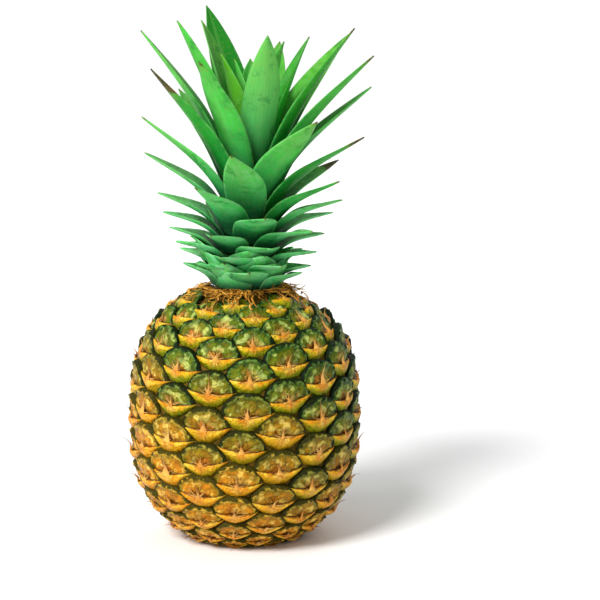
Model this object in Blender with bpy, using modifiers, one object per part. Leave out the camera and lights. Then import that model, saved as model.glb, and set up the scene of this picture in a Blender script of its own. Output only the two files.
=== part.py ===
"""A whole pineapple standing on its flat base: the fruit, its cut stalk, and a crown of separate leaves.

Sizes are in metres and +Z is up. The fruit's front faces -Y, and angles around the fruit are counted
from the front towards +X.
"""

import math

import bmesh
import bpy
from mathutils import Matrix, Vector

# Fruit
FRUIT_HEIGHT = 0.132
FRUIT_RADIUS = 0.0570
WIDEST_HEIGHT = 0.061
BASE_RADIUS = 0.025  # of the flat spot that it stands on
SEAT_MARGIN = 0.0045  # how far the flat seat under the crown reaches past its stem
LOWER_FULLNESS = 2.3  # 2 is an ellipse, more is boxier
UPPER_FULLNESS = 2.9
PROFILE_ROWS = 18  # on each side of the widest height
PROFILE_STEPS = 84

# Eyes, the fruitlets that cover the fruit in two sets of spirals
SPIRALS_UP_RIGHT = 7
SPIRALS_UP_LEFT = 11
EYE_COLUMNS = SPIRALS_UP_RIGHT + SPIRALS_UP_LEFT
EYE_TURN = math.radians(-99.88)  # from each eye to the next, round and up through all of them
EYE_HEIGHT = 0.0178  # from one eye to the one above it, where the fruit is widest
SMALLEST_EYE_SHARE = 0.4  # of EYE_HEIGHT, for an eye on the axis
EYE_RELIEF = 0.0024  # from the bottom of a groove to the middle of an eye
GROOVE_DEPTH = 0.0012  # how much of that lies under the fruit's outline
EYE_WIDTH_SHARE = 1.28  # an eye's width over its height
EYE_REACH = 0.62  # from an eye's middle to its groove, in eye heights
SEAT_FADE = 0.006  # the relief fades away over this height at the flat base and top

# Cut stalk
STALK_RADIUS = 0.0125
STALK_LENGTH = 0.007
STALK_RECESS = 0.0006  # the cut face stays this far above the ground
STALK_SIDES = 32
CLEARANCE = 0.0003  # between pieces that touch

# Crown stem, hidden inside the leaves
STEM_HEIGHT = 0.064
STEM_BASE_RADIUS = 0.0165
SEAT_RADIUS = STEM_BASE_RADIUS + SEAT_MARGIN
STEM_TOP_RADIUS = 0.0025
STEM_TAPER = 1.3  # 1 is a straight taper, more keeps the stem thick for longer
STEM_LEVELS = 6
STEM_SIDES = 24
CROWN_LEAN = math.radians(3.4)  # the crown leans towards +X

# Crown leaves, counted from the lowest and outermost to the innermost
LEAF_COUNT = 57
LEAF_TURN = math.radians(-137.5)
FIRST_LEAF_ANGLE = math.radians(57.0)
LOWEST_LEAF_HEIGHT = 0.0016
HIGHEST_LEAF_HEIGHT = 0.061
STEM_CROWDING = 1.1  # above 1, leaves are closer together low on the stem
TIP_CROWDING = 1.45  # above 1, more of the leaves are short
LOW_HALF_WIDTH = 0.0124  # half the lowest leaf's widest
HIGH_HALF_WIDTH = 0.0113  # and half the innermost leaf's
LEAF_THICKNESS = 0.0010
BASE_WRAP = math.radians(41.0)  # the most that half a leaf's width wraps round the stem
LEAF_WRAP = math.radians(58.0)  # and round the crown's axis further along
WRAP_START = 0.1  # of the leaf's length: the wrap grows from here
WRAP_FULL = 0.4  # to here
LOW_BASE_SHARE = 0.85  # width at the stem, over the widest, of the lowest leaf
HIGH_BASE_SHARE = 0.6  # and of the innermost
LEAF_WIDEST_AT = 0.38  # of the leaf's length
LEAF_TAPER = 1.75  # 1 is a straight taper to the tip, more is fuller
CHANNEL_DEPTH = 0.0028  # how far a leaf's margins rise over its middle
CHANNEL_START = 0.15  # of the leaf's length: the channel deepens from here
CHANNEL_FULL = 0.55  # to here
LEAF_SWAY = math.radians(5.0)  # the most that a tip bends sideways, round the crown
SWAY_STEP = 2.1  # radians of a sine from one leaf to the next, so that neighbours sway differently
SMALL_STEP = 0.001  # of the leaf's length, to find which way it runs
LEAF_ROWS = 7
LEAF_COLUMNS = 4

# How far out and how high the leaf tips reach, from the lowest leaf to the innermost
TIP_OUTLINE = (
    (0.033, 0.008),
    (0.038, 0.020),
    (0.044, 0.036),
    (0.052, 0.060),
    (0.058, 0.086),
    (0.060, 0.116),
    (0.055, 0.140),
    (0.036, 0.146),
    (0.014, 0.138),
)
LOW_BASE_BEND = math.radians(46.0)  # the lowest leaf leaves the stem this much steeper than its chord
HIGH_BASE_BEND = math.radians(16.0)  # and the innermost this much
TIP_BEND = math.radians(8.0)  # and ends this much flatter
LEAST_BASE_ANGLE = math.radians(14.0)  # from the vertical
LOW_BASE_PULL = 0.42  # of the chord: how far the lowest leaf follows its first direction
HIGH_BASE_PULL = 0.33
TIP_PULL = 0.33

# Leaves that differ from the rest: a turn round the crown in degrees, and a share of the usual length
LEAF_CHARACTER = {
    0: (5.0, 1.0),
    17: (25.0, 1.05),
    19: (6.0, 1.0),
    23: (-25.0, 1.0),
    24: (14.0, 0.95),
    25: (45.0, 1.0),
    27: (25.0, 1.1),
    29: (35.0, 1.0),
    30: (15.0, 1.05),
    31: (0.0, 0.93),
    32: (18.0, 1.03),
    34: (10.0, 1.03),
    36: (0.0, 0.8),
    37: (22.0, 0.93),
    38: (0.0, 0.93),
    40: (-22.0, 1.0),
    42: (33.0, 1.03),
    43: (4.0, 1.03),
    44: (4.0, 1.0),
    45: (-28.0, 0.8),
    46: (-4.0, 1.03),
    47: (6.0, 0.96),
    48: (-3.0, 0.93),
    49: (0.0, 0.8),
    50: (-9.0, 0.87),
    51: (0.0, 0.9),
    52: (0.0, 0.85),
    53: (-25.0, 0.75),
    54: (0.0, 0.72),
    55: (0.0, 0.88),
    56: (4.0, 0.75),
}


def smooth(value, low=0.0, high=1.0):
    """0 below low, 1 above high and a smooth step between them."""
    share = min(1.0, max(0.0, (value - low) / (high - low)))
    return share * share * (3.0 - 2.0 * share)


def mixed(low, high, share):
    """The value this share of the way from low to high."""
    return low + (high - low) * share


def around(angle, radius, height):
    """The point at this angle around the axis, counted from the front."""
    return Vector((radius * math.sin(angle), -radius * math.cos(angle), height))


def add_material(obj, colour, roughness):
    material = bpy.data.materials.new(obj.name)
    material.use_nodes = True
    shader = material.node_tree.nodes["Principled BSDF"]
    shader.inputs["Base Color"].default_value = (*colour, 1.0)
    shader.inputs["Roughness"].default_value = roughness
    shader.inputs["Metallic"].default_value = 0.0
    obj.data.materials.append(material)


def add_object(name, mesh, parent, colour, roughness):
    obj = bpy.data.objects.new(name, mesh)
    pineapple.objects.link(obj)
    obj.parent = parent
    for face in mesh.polygons:
        face.use_smooth = True
    add_material(obj, colour, roughness)
    return obj


def turned_mesh(name, profile, steps):
    """A closed mesh turned about Z from a profile that runs from the top down its outer side."""
    mesh = bpy.data.meshes.new(name)
    edges = [(i, i + 1) for i in range(len(profile) - 1)]
    mesh.from_pydata([(radius, 0.0, height) for radius, height in profile], edges, [])
    guide = bpy.data.objects.new(name + "_profile", mesh)
    pineapple.objects.link(guide)
    screw = guide.modifiers.new("turn", "SCREW")
    screw.steps = steps
    screw.render_steps = steps
    screw.use_merge_vertices = True
    screw.merge_threshold = 0.0001
    turned = bpy.data.meshes.new_from_object(
        guide.evaluated_get(bpy.context.evaluated_depsgraph_get())
    )
    turned.name = name
    bpy.data.objects.remove(guide)
    return turned


# The fruit


def half_height(fullness, end_radius, reach):
    """The semi-axis that brings the outline in to end_radius at this distance from the widest height."""
    return reach / (1 - (end_radius / FRUIT_RADIUS) ** fullness) ** (1 / fullness)


def fruit_radius(height):
    if height < WIDEST_HEIGHT:
        fullness, end_radius, reach = LOWER_FULLNESS, BASE_RADIUS, WIDEST_HEIGHT
    else:
        fullness, end_radius, reach = UPPER_FULLNESS, SEAT_RADIUS, FRUIT_HEIGHT - WIDEST_HEIGHT
    share = abs(height - WIDEST_HEIGHT) / half_height(fullness, end_radius, reach)
    return FRUIT_RADIUS * (1 - share**fullness) ** (1 / fullness)


def side_heights():
    """Heights down the fruit's side, closer together where it curves in."""
    upper = FRUIT_HEIGHT - WIDEST_HEIGHT
    quarter = [math.pi / 2 * row / PROFILE_ROWS for row in range(PROFILE_ROWS + 1)]
    above = [WIDEST_HEIGHT + upper * math.sin(turn) for turn in reversed(quarter[1:])]
    below = [WIDEST_HEIGHT * (1 - math.sin(turn)) for turn in quarter]
    return above + below


def eye_spacing(radius):
    """The distance up the side from one eye to the next in its column: eyes are smaller near the axis."""
    share = SMALLEST_EYE_SHARE + (1 - SMALLEST_EYE_SHARE) * radius / FRUIT_RADIUS
    return EYE_HEIGHT * share


def eye_row_at():
    """Each profile height's place in the rows of eyes, counted up from the widest height."""
    heights = side_heights()
    widest = heights.index(min(heights, key=lambda height: abs(height - WIDEST_HEIGHT)))
    rows = [0.0]
    for upper, lower in zip(heights, heights[1:]):
        middle = (fruit_radius(upper) + fruit_radius(lower)) / 2
        slant = math.hypot(upper - lower, fruit_radius(upper) - fruit_radius(lower))
        rows.append(rows[-1] - slant / eye_spacing(middle))
    return {height: row - rows[widest] for height, row in zip(heights, rows)}


def eye_relief(angle, radius, row):
    """How far the skin stands out here: most in the middle of an eye, least in the groove around it."""
    eye_height = eye_spacing(radius)
    distances = []
    first = round(row * EYE_COLUMNS)
    for eye in range(first - EYE_COLUMNS, first + EYE_COLUMNS + 1):
        sideways = math.remainder(angle - eye * EYE_TURN, 2 * math.pi) * radius / EYE_WIDTH_SHARE
        upwards = (row - eye / EYE_COLUMNS) * eye_height
        distances.append(math.hypot(sideways, upwards) / eye_height)
    return EYE_RELIEF * (1 - smooth(min(distances) / EYE_REACH)) - GROOVE_DEPTH


def add_fruit(parent):
    """The fruit with its eyes, and a recess underneath for the stalk."""
    recess_radius = STALK_RADIUS + CLEARANCE
    recess_height = STALK_RECESS + STALK_LENGTH + CLEARANCE
    profile = [(0.0, FRUIT_HEIGHT)]
    profile += [(fruit_radius(height), height) for height in side_heights()]
    profile += [(recess_radius, 0.0), (recess_radius, recess_height), (0.0, recess_height)]
    mesh = turned_mesh("fruit", profile, PROFILE_STEPS)
    rows = eye_row_at()
    seats = (FRUIT_HEIGHT, 0.0)
    for vertex in mesh.vertices:
        radius = math.hypot(vertex.co.x, vertex.co.y)
        height = min(rows, key=lambda level: abs(level - vertex.co.z))
        on_side = abs(radius - fruit_radius(height)) < CLEARANCE
        if not on_side or height in seats:
            continue
        angle = math.atan2(vertex.co.x, -vertex.co.y)
        slope = fruit_radius(height + CLEARANCE) - fruit_radius(height - CLEARANCE)
        outward = around(angle, 2 * CLEARANCE, -slope).normalized()
        from_seat = min(height, FRUIT_HEIGHT - height) / SEAT_FADE
        vertex.co += outward * eye_relief(angle, radius, rows[height]) * smooth(from_seat)
    add_object("fruit", mesh, parent, (0.55, 0.36, 0.05), 0.55)


def add_stalk(parent):
    """The cut end of the stalk that the fruit grew on, set in the recess."""
    bottom, top = STALK_RECESS, STALK_RECESS + STALK_LENGTH
    profile = [(0.0, top), (STALK_RADIUS, top), (STALK_RADIUS, bottom), (0.0, bottom)]
    mesh = turned_mesh("cut_stalk", profile, STALK_SIDES)
    add_object("cut_stalk", mesh, parent, (0.55, 0.42, 0.22), 0.8)


# The crown


def stem_radius(height):
    """The crown stem tapers slowly at first, then closes to its growing tip."""
    share = height / STEM_HEIGHT
    return mixed(STEM_BASE_RADIUS, STEM_TOP_RADIUS, share**STEM_TAPER)


def add_crown_stem(parent):
    bottom = CLEARANCE + STEM_BASE_RADIUS * math.sin(CROWN_LEAN)
    levels = [STEM_HEIGHT * (1 - step / STEM_LEVELS) for step in range(STEM_LEVELS)] + [bottom]
    profile = [(0.0, STEM_HEIGHT)]
    profile += [(stem_radius(height), height) for height in levels]
    profile += [(0.0, bottom)]
    mesh = turned_mesh("crown_stem", profile, STEM_SIDES)
    add_object("crown_stem", mesh, parent, (0.45, 0.5, 0.25), 0.7)


def on_outline(points, share):
    """The point this share of the way along a smooth curve through a list of points."""
    place = min(1.0, max(0.0, share)) * (len(points) - 1)
    index = min(int(place), len(points) - 2)
    part = place - index
    before, after = points[max(index - 1, 0)], points[min(index + 2, len(points) - 1)]
    found = []
    for a, b, c, d in zip(before, points[index], points[index + 1], after):
        slope_b, slope_c = (c - a) / 2, (d - b) / 2
        cube = 2 * b - 2 * c + slope_b + slope_c
        square = 3 * c - 3 * b - 2 * slope_b - slope_c
        found.append(((cube * part + square) * part + slope_b) * part + b)
    return found


def leaf_midline(growth, length_share):
    """A function of the share along a leaf that gives its middle's (radius, height) about the crown's axis.

    growth runs from 0 for the lowest leaf to 1 for the innermost.
    """
    base_height = mixed(LOWEST_LEAF_HEIGHT, HIGHEST_LEAF_HEIGHT, growth**STEM_CROWDING)
    base_radius = stem_radius(base_height) + CLEARANCE + LEAF_THICKNESS / 2
    tip_radius, tip_height = on_outline(TIP_OUTLINE, growth**TIP_CROWDING)
    tip_radius = base_radius + (tip_radius - base_radius) * length_share
    tip_height = base_height + (tip_height - base_height) * length_share
    chord = math.hypot(tip_radius - base_radius, tip_height - base_height)
    lean = math.atan2(tip_radius - base_radius, tip_height - base_height)
    start = max(lean - mixed(LOW_BASE_BEND, HIGH_BASE_BEND, growth), LEAST_BASE_ANGLE)
    end = lean + TIP_BEND
    base_pull = chord * mixed(LOW_BASE_PULL, HIGH_BASE_PULL, growth)
    tip_pull = chord * TIP_PULL
    radii = (
        base_radius,
        base_radius + base_pull * math.sin(start),
        tip_radius - tip_pull * math.sin(end),
        tip_radius,
    )
    heights = (
        base_height,
        base_height + base_pull * math.cos(start),
        tip_height - tip_pull * math.cos(end),
        tip_height,
    )

    def midline(share):
        rest = 1 - share
        weights = (rest**3, 3 * rest**2 * share, 3 * rest * share**2, share**3)
        return (
            sum(weight * radius for weight, radius in zip(weights, radii)),
            sum(weight * height for weight, height in zip(weights, heights)),
        )

    return midline


def half_width(growth, share):
    """Half a leaf's width this share of the way along it."""
    widest = mixed(LOW_HALF_WIDTH, HIGH_HALF_WIDTH, growth)
    if share < LEAF_WIDEST_AT:
        base_share = mixed(LOW_BASE_SHARE, HIGH_BASE_SHARE, growth)
        return widest * mixed(base_share, 1.0, math.sin(math.pi / 2 * share / LEAF_WIDEST_AT))
    past = (share - LEAF_WIDEST_AT) / (1 - LEAF_WIDEST_AT)
    return widest * (1 - past**LEAF_TAPER)


def leaf_point(midline, growth, angle, sway, share, across):
    """A point of a leaf: share runs from its base to its tip, and across from -1 to 1 over its width."""
    radius, height = midline(share)
    ahead_radius, ahead_height = midline(share + SMALL_STEP)
    slant = math.atan2(ahead_radius - radius, ahead_height - height)
    most_wrap = mixed(BASE_WRAP, LEAF_WRAP, smooth(share, WRAP_START, WRAP_FULL))
    wrap = min(half_width(growth, share) / radius, most_wrap)
    turn = angle + sway * share**2 + across * wrap
    channel = CHANNEL_DEPTH * smooth(share, CHANNEL_START, CHANNEL_FULL) * math.sqrt(1 - share)
    rise = channel * across**2
    return around(turn, radius - rise * math.cos(slant), height + rise * math.sin(slant))


def leaf_mesh(name, growth, angle, sway, length_share):
    """A leaf's curved sheet, which Solidify gives its thickness."""
    midline = leaf_midline(growth, length_share)
    sheet = bmesh.new()
    rows = []
    for row in range(LEAF_ROWS):
        share = row / LEAF_ROWS
        columns = [2 * column / LEAF_COLUMNS - 1 for column in range(LEAF_COLUMNS + 1)]
        points = [leaf_point(midline, growth, angle, sway, share, across) for across in columns]
        rows.append([sheet.verts.new(point) for point in points])
    for lower, upper in zip(rows, rows[1:]):
        for column in range(LEAF_COLUMNS):
            corners = lower[column : column + 2] + upper[column : column + 2][::-1]
            sheet.faces.new(corners)
    tip = sheet.verts.new(leaf_point(midline, growth, angle, sway, 1.0, 0.0))
    for left, right in zip(rows[-1], rows[-1][1:]):
        sheet.faces.new((left, right, tip))
    mesh = bpy.data.meshes.new(name)
    sheet.to_mesh(mesh)
    sheet.free()
    return mesh


def add_leaf(index, parent):
    name = f"crown_leaf_{index + 1:02d}"
    turn, length_share = LEAF_CHARACTER.get(index, (0.0, 1.0))
    growth = index / (LEAF_COUNT - 1)
    angle = FIRST_LEAF_ANGLE + index * LEAF_TURN + math.radians(turn)
    sway = LEAF_SWAY * math.sin(index * SWAY_STEP)
    mesh = leaf_mesh(name, growth, angle, sway, length_share)
    colour = (0.10 + 0.06 * growth, 0.32 + 0.08 * growth, 0.12)
    leaf = add_object(name, mesh, parent, colour, 0.5)
    thickness = leaf.modifiers.new("thickness", "SOLIDIFY")
    thickness.thickness = LEAF_THICKNESS
    thickness.offset = 0.0


# The whole


def centred(root):
    """Moves the whole so that the middle of its bounding box stands on the origin."""
    bpy.context.view_layer.update()
    graph = bpy.context.evaluated_depsgraph_get()
    points = []
    for obj in pineapple.objects:
        if obj.type == "MESH":
            solid = obj.evaluated_get(graph)
            points += [solid.matrix_world @ vertex.co for vertex in solid.to_mesh().vertices]
            solid.to_mesh_clear()
    for axis in range(2):
        places = [point[axis] for point in points]
        root.location[axis] = -(min(places) + max(places)) / 2


def main():
    root = bpy.data.objects.new("pineapple_root", None)
    crown = bpy.data.objects.new("crown_root", None)
    pineapple.objects.link(root)
    pineapple.objects.link(crown)
    crown.parent = root
    crown.matrix_local = Matrix.Translation((0, 0, FRUIT_HEIGHT)) @ Matrix.Rotation(
        CROWN_LEAN, 4, "Y"
    )
    add_fruit(root)
    add_stalk(root)
    add_crown_stem(crown)
    for index in range(LEAF_COUNT):
        add_leaf(index, crown)
    centred(root)


for old in list(bpy.data.objects):
    bpy.data.objects.remove(old)
pineapple = bpy.data.collections.new("pineapple")
bpy.context.scene.collection.children.link(pineapple)
main()
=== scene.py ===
"""The looks of a whole pineapple: a rind of raised eyes, and a crown of channelled leaves.

Sizes are in metres and +Z is up. The fruit's front faces -Y, and angles around the fruit and the crown are
counted from the front towards +X. Places along the fruit's skin are counted in rows of eyes, up from where
the fruit is widest, and a lift is a height above the skin's outline.
"""

import math

import bpy
import numpy as np
from mathutils import Matrix, Vector


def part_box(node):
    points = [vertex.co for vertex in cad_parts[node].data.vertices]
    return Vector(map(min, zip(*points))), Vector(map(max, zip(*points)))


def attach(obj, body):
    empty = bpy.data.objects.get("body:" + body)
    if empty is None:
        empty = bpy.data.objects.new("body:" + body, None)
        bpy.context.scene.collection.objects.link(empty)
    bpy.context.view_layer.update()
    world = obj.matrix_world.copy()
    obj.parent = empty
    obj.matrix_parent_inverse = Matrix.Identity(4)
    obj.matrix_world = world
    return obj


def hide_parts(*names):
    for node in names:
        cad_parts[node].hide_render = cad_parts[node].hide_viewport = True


# Camera
VIEW_DISTANCE = 1.2
VIEW_ELEVATION = math.radians(10.0)
VIEW_WIDTH = 0.3136  # across the picture, at the fruit's axis
VIEW_CENTRE = (0.029, 0.1256)  # right of the fruit's axis, and above the ground
VIEW_START = 0.01
SENSOR_WIDTH = 36.0

# Fruit
FRUIT_RADIUS = 0.057
WIDEST_HEIGHT = 0.061
BASE_RADIUS = 0.025
SEAT_RADIUS = 0.021
LOWER_FULLNESS = 2.3
UPPER_FULLNESS = 2.9
MERIDIAN_STEP = 0.0004  # between the skin's points, from the base to the crown
CORNER_ROUNDING = 0.004  # how far the skin's corners are rounded each way
BASE_STANDS_OFF = 0.0012  # the flat base's outline, which the eyes there fill down to the ground
STALK_GAP = 0.0004

# Eyes
EYE_COLUMNS = 18
EYE_TURN = math.radians(-99.88)
EYE_HEIGHT = 0.0178
SMALLEST_LOW_EYE = 0.4  # the size that eyes would shrink to at no radius, below the widest row
SMALLEST_HIGH_EYE = 0.88  # and above it
LOWEST_EYE = -91
HIGHEST_EYE = 86
HIGH_EYE_WIDENING = 0.45  # how much the high eyes keep of their width as the fruit narrows
FLOOR_LIFT = -0.0008  # the skin at the bottom of the grooves
SHOULDER_DROP = 2.7  # in skin lifts
SHOULDER_LEAN = 0.35  # how much more of it on the right, and less on the left
SKIN_LIFT = 0.0013  # more for the whole skin where the fruit is full, fading at both its ends
LOW_FADE = (0.03, 0.28)  # of the fruit's height, where the skin fills out
HIGH_FADE = (0.5, 0.9)  # and where it falls off
SHOULDER_IN = (0.0185, 0.027)  # radii where the drop begins, and where it ends
SHOULDER_OUT = (0.04, 0.0555)

# Crown
CROWN_LEAN = math.radians(3.4)
LEAF_COUNT = 57
LEAF_TURN = math.radians(-137.5)
FIRST_LEAF_ANGLE = math.radians(57.0)
STEM_HEIGHT = 0.064
STEM_BASE_RADIUS = 0.0165
STEM_TOP_RADIUS = 0.0025
STEM_TAPER = 1.3
CLEARANCE = 0.0003
LOWEST_LEAF_HEIGHT = 0.0016
HIGHEST_LEAF_HEIGHT = 0.061
STEM_CROWDING = 1.1
TIP_CROWDING = 1.45
LOW_HALF_WIDTH = 0.0124
HIGH_HALF_WIDTH = 0.0113
LEAF_THICKNESS = 0.001
BASE_WRAP = math.radians(41.0)
LEAF_WRAP = math.radians(58.0)
WRAP_START = 0.1
WRAP_FULL = 0.4
LOW_BASE_SHARE = 0.85
HIGH_BASE_SHARE = 0.6
LEAF_WIDEST_AT = 0.38
LEAF_TAPER = 1.75
HIGH_LEAF_TAPER = 2.5
CHANNEL_DEPTH = 0.0028
CHANNEL_START = 0.15
CHANNEL_FULL = 0.55
LEAF_SWAY = math.radians(5.0)
SWAY_STEP = 2.1
LOW_DRAWN_IN = 0.42  # how much the blades narrow towards their tips
HIGH_DRAWN_IN = 0.08
CHANNEL_CURVE = 1.6
TWIST_SPREAD = 0.0007
TIP_OUTLINE = (  # radius and height of the leaves' tips, from the lowest leaf to the innermost
    (0.033, 0.008),
    (0.038, 0.02),
    (0.044, 0.036),
    (0.052, 0.06),
    (0.058, 0.086),
    (0.06, 0.116),
    (0.055, 0.14),
    (0.036, 0.146),
    (0.014, 0.138),
)
LOW_BASE_BEND = math.radians(46.0)
HIGH_BASE_BEND = math.radians(16.0)
TIP_BEND = math.radians(8.0)
LEAST_BASE_ANGLE = math.radians(14.0)
LOW_BASE_PULL = 0.42
HIGH_BASE_PULL = 0.33
TIP_PULL = 0.33
LEAF_CHARACTER = {  # an extra turn in degrees, and the share of its usual length
    0: (5.0, 1.0),
    17: (25.0, 1.05),
    19: (6.0, 1.0),
    23: (-25.0, 1.0),
    24: (14.0, 0.95),
    25: (45.0, 1.0),
    27: (25.0, 1.1),
    29: (35.0, 1.0),
    30: (15.0, 1.05),
    31: (0.0, 0.93),
    32: (18.0, 1.03),
    34: (10.0, 1.03),
    36: (0.0, 0.8),
    37: (22.0, 0.93),
    38: (0.0, 0.93),
    40: (-22.0, 1.0),
    42: (33.0, 1.03),
    43: (4.0, 1.03),
    44: (4.0, 1.0),
    45: (-28.0, 0.8),
    46: (-4.0, 1.03),
    47: (6.0, 0.96),
    48: (-3.0, 0.93),
    49: (0.0, 0.8),
    50: (-9.0, 0.87),
    51: (0.0, 0.9),
    52: (0.0, 0.85),
    53: (-25.0, 0.75),
    54: (0.0, 0.72),
    55: (0.0, 0.88),
    56: (4.0, 0.75),
}
LEAF_MOODS = {  # how light, as the leaf's own tone with painted light and shade on the whole leaf; how yellow; and how far dried at the tip
    16: (0.15, 0.0, 0.05),
    29: (-0.5, 0.0, 0.1),
    31: (0.0, 0.0, 0.45),
    32: (0.35, 0.1, 0.05),
    34: (-0.6, 0.0, 0.3),
    40: (-0.6, 0.0, 0.5),
    42: (-0.4, 0.0, 0.1),
    44: (0.1, 0.2, 0.0),
    45: (0.25, 0.1, 0.1),
    46: (-1.0, 0.0, 0.0),
    47: (-0.2, 0.2, 0.1),
    50: (0.95, 0.0, 0.0),
    53: (0.3, 0.9, 0.0),
    54: (0.8, 0.0, 0.0),
    56: (0.5, 0.1, 0.0),
}
LOW_TIP_LIFT = 0.0045  # the lowest leaves' tips curve up this much more than their plain shapes
EXTRA_LEAF_COUNT = 18  # short leaves that fill the foot of the crown
EXTRA_LEAF_GROWTH = 0.22
EXTRA_LEAF_TURN = 0.6  # past the place halfway between two grown leaves
EXTRA_LEAF_LENGTHS = (0.45, 0.72)
EXTRA_TIP_LIFTS = (0.003, 0.007)
GAP_LEAVES = (  # growth and angle of three that close a gap behind the stem
    (0.27, 236.0),
    (0.35, 218.0),
    (0.43, 229.0),
)

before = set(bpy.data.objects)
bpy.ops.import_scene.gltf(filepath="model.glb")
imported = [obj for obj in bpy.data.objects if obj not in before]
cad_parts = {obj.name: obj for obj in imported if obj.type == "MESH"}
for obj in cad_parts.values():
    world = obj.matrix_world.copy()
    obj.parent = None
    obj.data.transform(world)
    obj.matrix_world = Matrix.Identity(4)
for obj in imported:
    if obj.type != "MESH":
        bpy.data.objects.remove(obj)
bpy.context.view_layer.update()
chance = np.random.default_rng(11)


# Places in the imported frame


def stalk_axis():
    """Where the fruit's axis stands: the cut stalk is turned about it."""
    low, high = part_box("cut_stalk")
    return (low.x + high.x) / 2, (low.y + high.y) / 2


AXIS_X, AXIS_Y = stalk_axis()
FRUIT_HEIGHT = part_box("fruit")[1].z
STALK_RADIUS = (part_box("cut_stalk")[1].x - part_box("cut_stalk")[0].x) / 2
STALK_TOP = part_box("cut_stalk")[1].z
CROWN_FRAME = Matrix.Translation((AXIS_X, AXIS_Y, FRUIT_HEIGHT)) @ Matrix.Rotation(CROWN_LEAN, 4, "Y")


def add_object(name, data):
    made = bpy.data.objects.new(name, data)
    bpy.context.scene.collection.objects.link(made)
    return made


def add_camera():
    camera = add_object("camera", bpy.data.cameras.new("camera"))
    aim = Vector((AXIS_X + VIEW_CENTRE[0], AXIS_Y, VIEW_CENTRE[1]))
    back = Vector((0.0, -math.cos(VIEW_ELEVATION), math.sin(VIEW_ELEVATION)))
    camera.location = aim + back * VIEW_DISTANCE
    camera.rotation_euler = (-back).to_track_quat("-Z", "Y").to_euler()
    camera.data.sensor_width = SENSOR_WIDTH
    camera.data.lens = SENSOR_WIDTH * VIEW_DISTANCE / VIEW_WIDTH
    camera.data.clip_start = VIEW_START
    bpy.context.scene.camera = camera


add_camera()


# Shapes of numbers


def smooth(value, low=0.0, high=1.0):
    """0 below low, 1 above high and a smooth step between them."""
    share = np.clip((np.asarray(value, float) - low) / (high - low), 0.0, 1.0)
    return share * share * (3.0 - 2.0 * share)


def mixed(low, high, share):
    return low + (high - low) * share


def about(spread):
    """A random number about 0."""
    return float(chance.normal(0.0, spread))


def lucky():
    """A random number from 0 to 1."""
    return float(chance.random())


def between(limits):
    """A random number between two limits."""
    return float(chance.uniform(*limits))


def hump(value, centre, width):
    """1 at the centre, falling to nothing a few widths away."""
    return np.exp(-(((value - centre) / width) ** 2))


# Meshes


def add_piece(name, points, faces, materials, replaces=()):
    """A piece of the pineapple that stands for CAD nodes and rides on its one body."""
    mesh = bpy.data.meshes.new(name)
    mesh.from_pydata(np.asarray(points).tolist(), [], faces)
    mesh.update()
    mesh.shade_smooth()
    piece = add_object(name, mesh)
    for material in materials:
        mesh.materials.append(material)
    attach(piece, "root")
    if replaces:
        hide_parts(*replaces)
    return piece


def set_points(piece, name, values):
    """Stores three numbers for each point of a piece, for its material to read."""
    layer = piece.data.attributes.new(name, "FLOAT_VECTOR", "POINT")
    layer.data.foreach_set("vector", np.asarray(values, np.float32).ravel())


def grid_faces(rows, columns, start=0):
    """The faces of a grid of points stored row by row."""
    faces = []
    for row in range(rows - 1):
        for column in range(columns - 1):
            corner = start + row * columns + column
            faces.append((corner, corner + 1, corner + columns + 1, corner + columns))
    return faces


def tube_faces(rings, sides, start=0):
    """The side faces of a tube whose points are stored ring by ring."""
    faces = []
    for ring in range(rings - 1):
        for side in range(sides):
            here = start + ring * sides + side
            beside = start + ring * sides + (side + 1) % sides
            faces.append((here, beside, beside + sides, here + sides))
    return faces


def grid_rim(rows, columns, start=0):
    """The grid's outer points, in order around it."""
    bottom = [start + column for column in range(columns)]
    right = [start + row * columns + columns - 1 for row in range(1, rows)]
    top = [start + (rows - 1) * columns + column for column in range(columns - 2, -1, -1)]
    left = [start + row * columns for row in range(rows - 2, 0, -1)]
    return bottom + right + top + left


def sheet_solid(front, back, start=0):
    """Points and faces of a thin solid between two grids of points, the front one facing the viewer."""
    rows, columns = front.shape[:2]
    count = rows * columns
    faces = grid_faces(rows, columns, start)
    faces += [face[::-1] for face in grid_faces(rows, columns, start + count)]
    rim = grid_rim(rows, columns, start)
    for here, there in zip(rim, rim[1:] + rim[:1]):
        faces.append((there, here, here + count, there + count))
    points = np.concatenate([front.reshape(-1, 3), back.reshape(-1, 3)])
    return points, faces


def surface_normals(points):
    """Unit normals of a grid of points."""
    across = np.gradient(points, axis=1)
    along = np.gradient(points, axis=0)
    normals = np.cross(across, along)
    return normals / np.maximum(np.linalg.norm(normals, axis=-1, keepdims=True), 1e-12)


class Parts:
    """Many small shapes on the rind, joined as one piece with the numbers stored for their points."""

    def __init__(self, *names):
        self.points = []
        self.faces = []
        self.stored = {name: [] for name in names}
        self.count = 0

    def add(self, points, faces, **stored):
        """Adds a shape. What is stored is one row of numbers for each point, or one for all of them."""
        points = points.reshape(-1, 3)
        self.points.append(points)
        self.faces += faces
        for name, values in stored.items():
            self.stored[name].append(np.broadcast_to(np.reshape(values, (-1, 3)), points.shape))
        self.count += len(points)

    def join(self, name, material, replaces=()):
        piece = add_piece(name, np.concatenate(self.points), self.faces, [material], replaces)
        for label, values in self.stored.items():
            set_points(piece, label, np.concatenate(values))


# The fruit's skin


def half_height(fullness, end_radius, reach):
    return reach / (1 - (end_radius / FRUIT_RADIUS) ** fullness) ** (1 / fullness)


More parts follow.
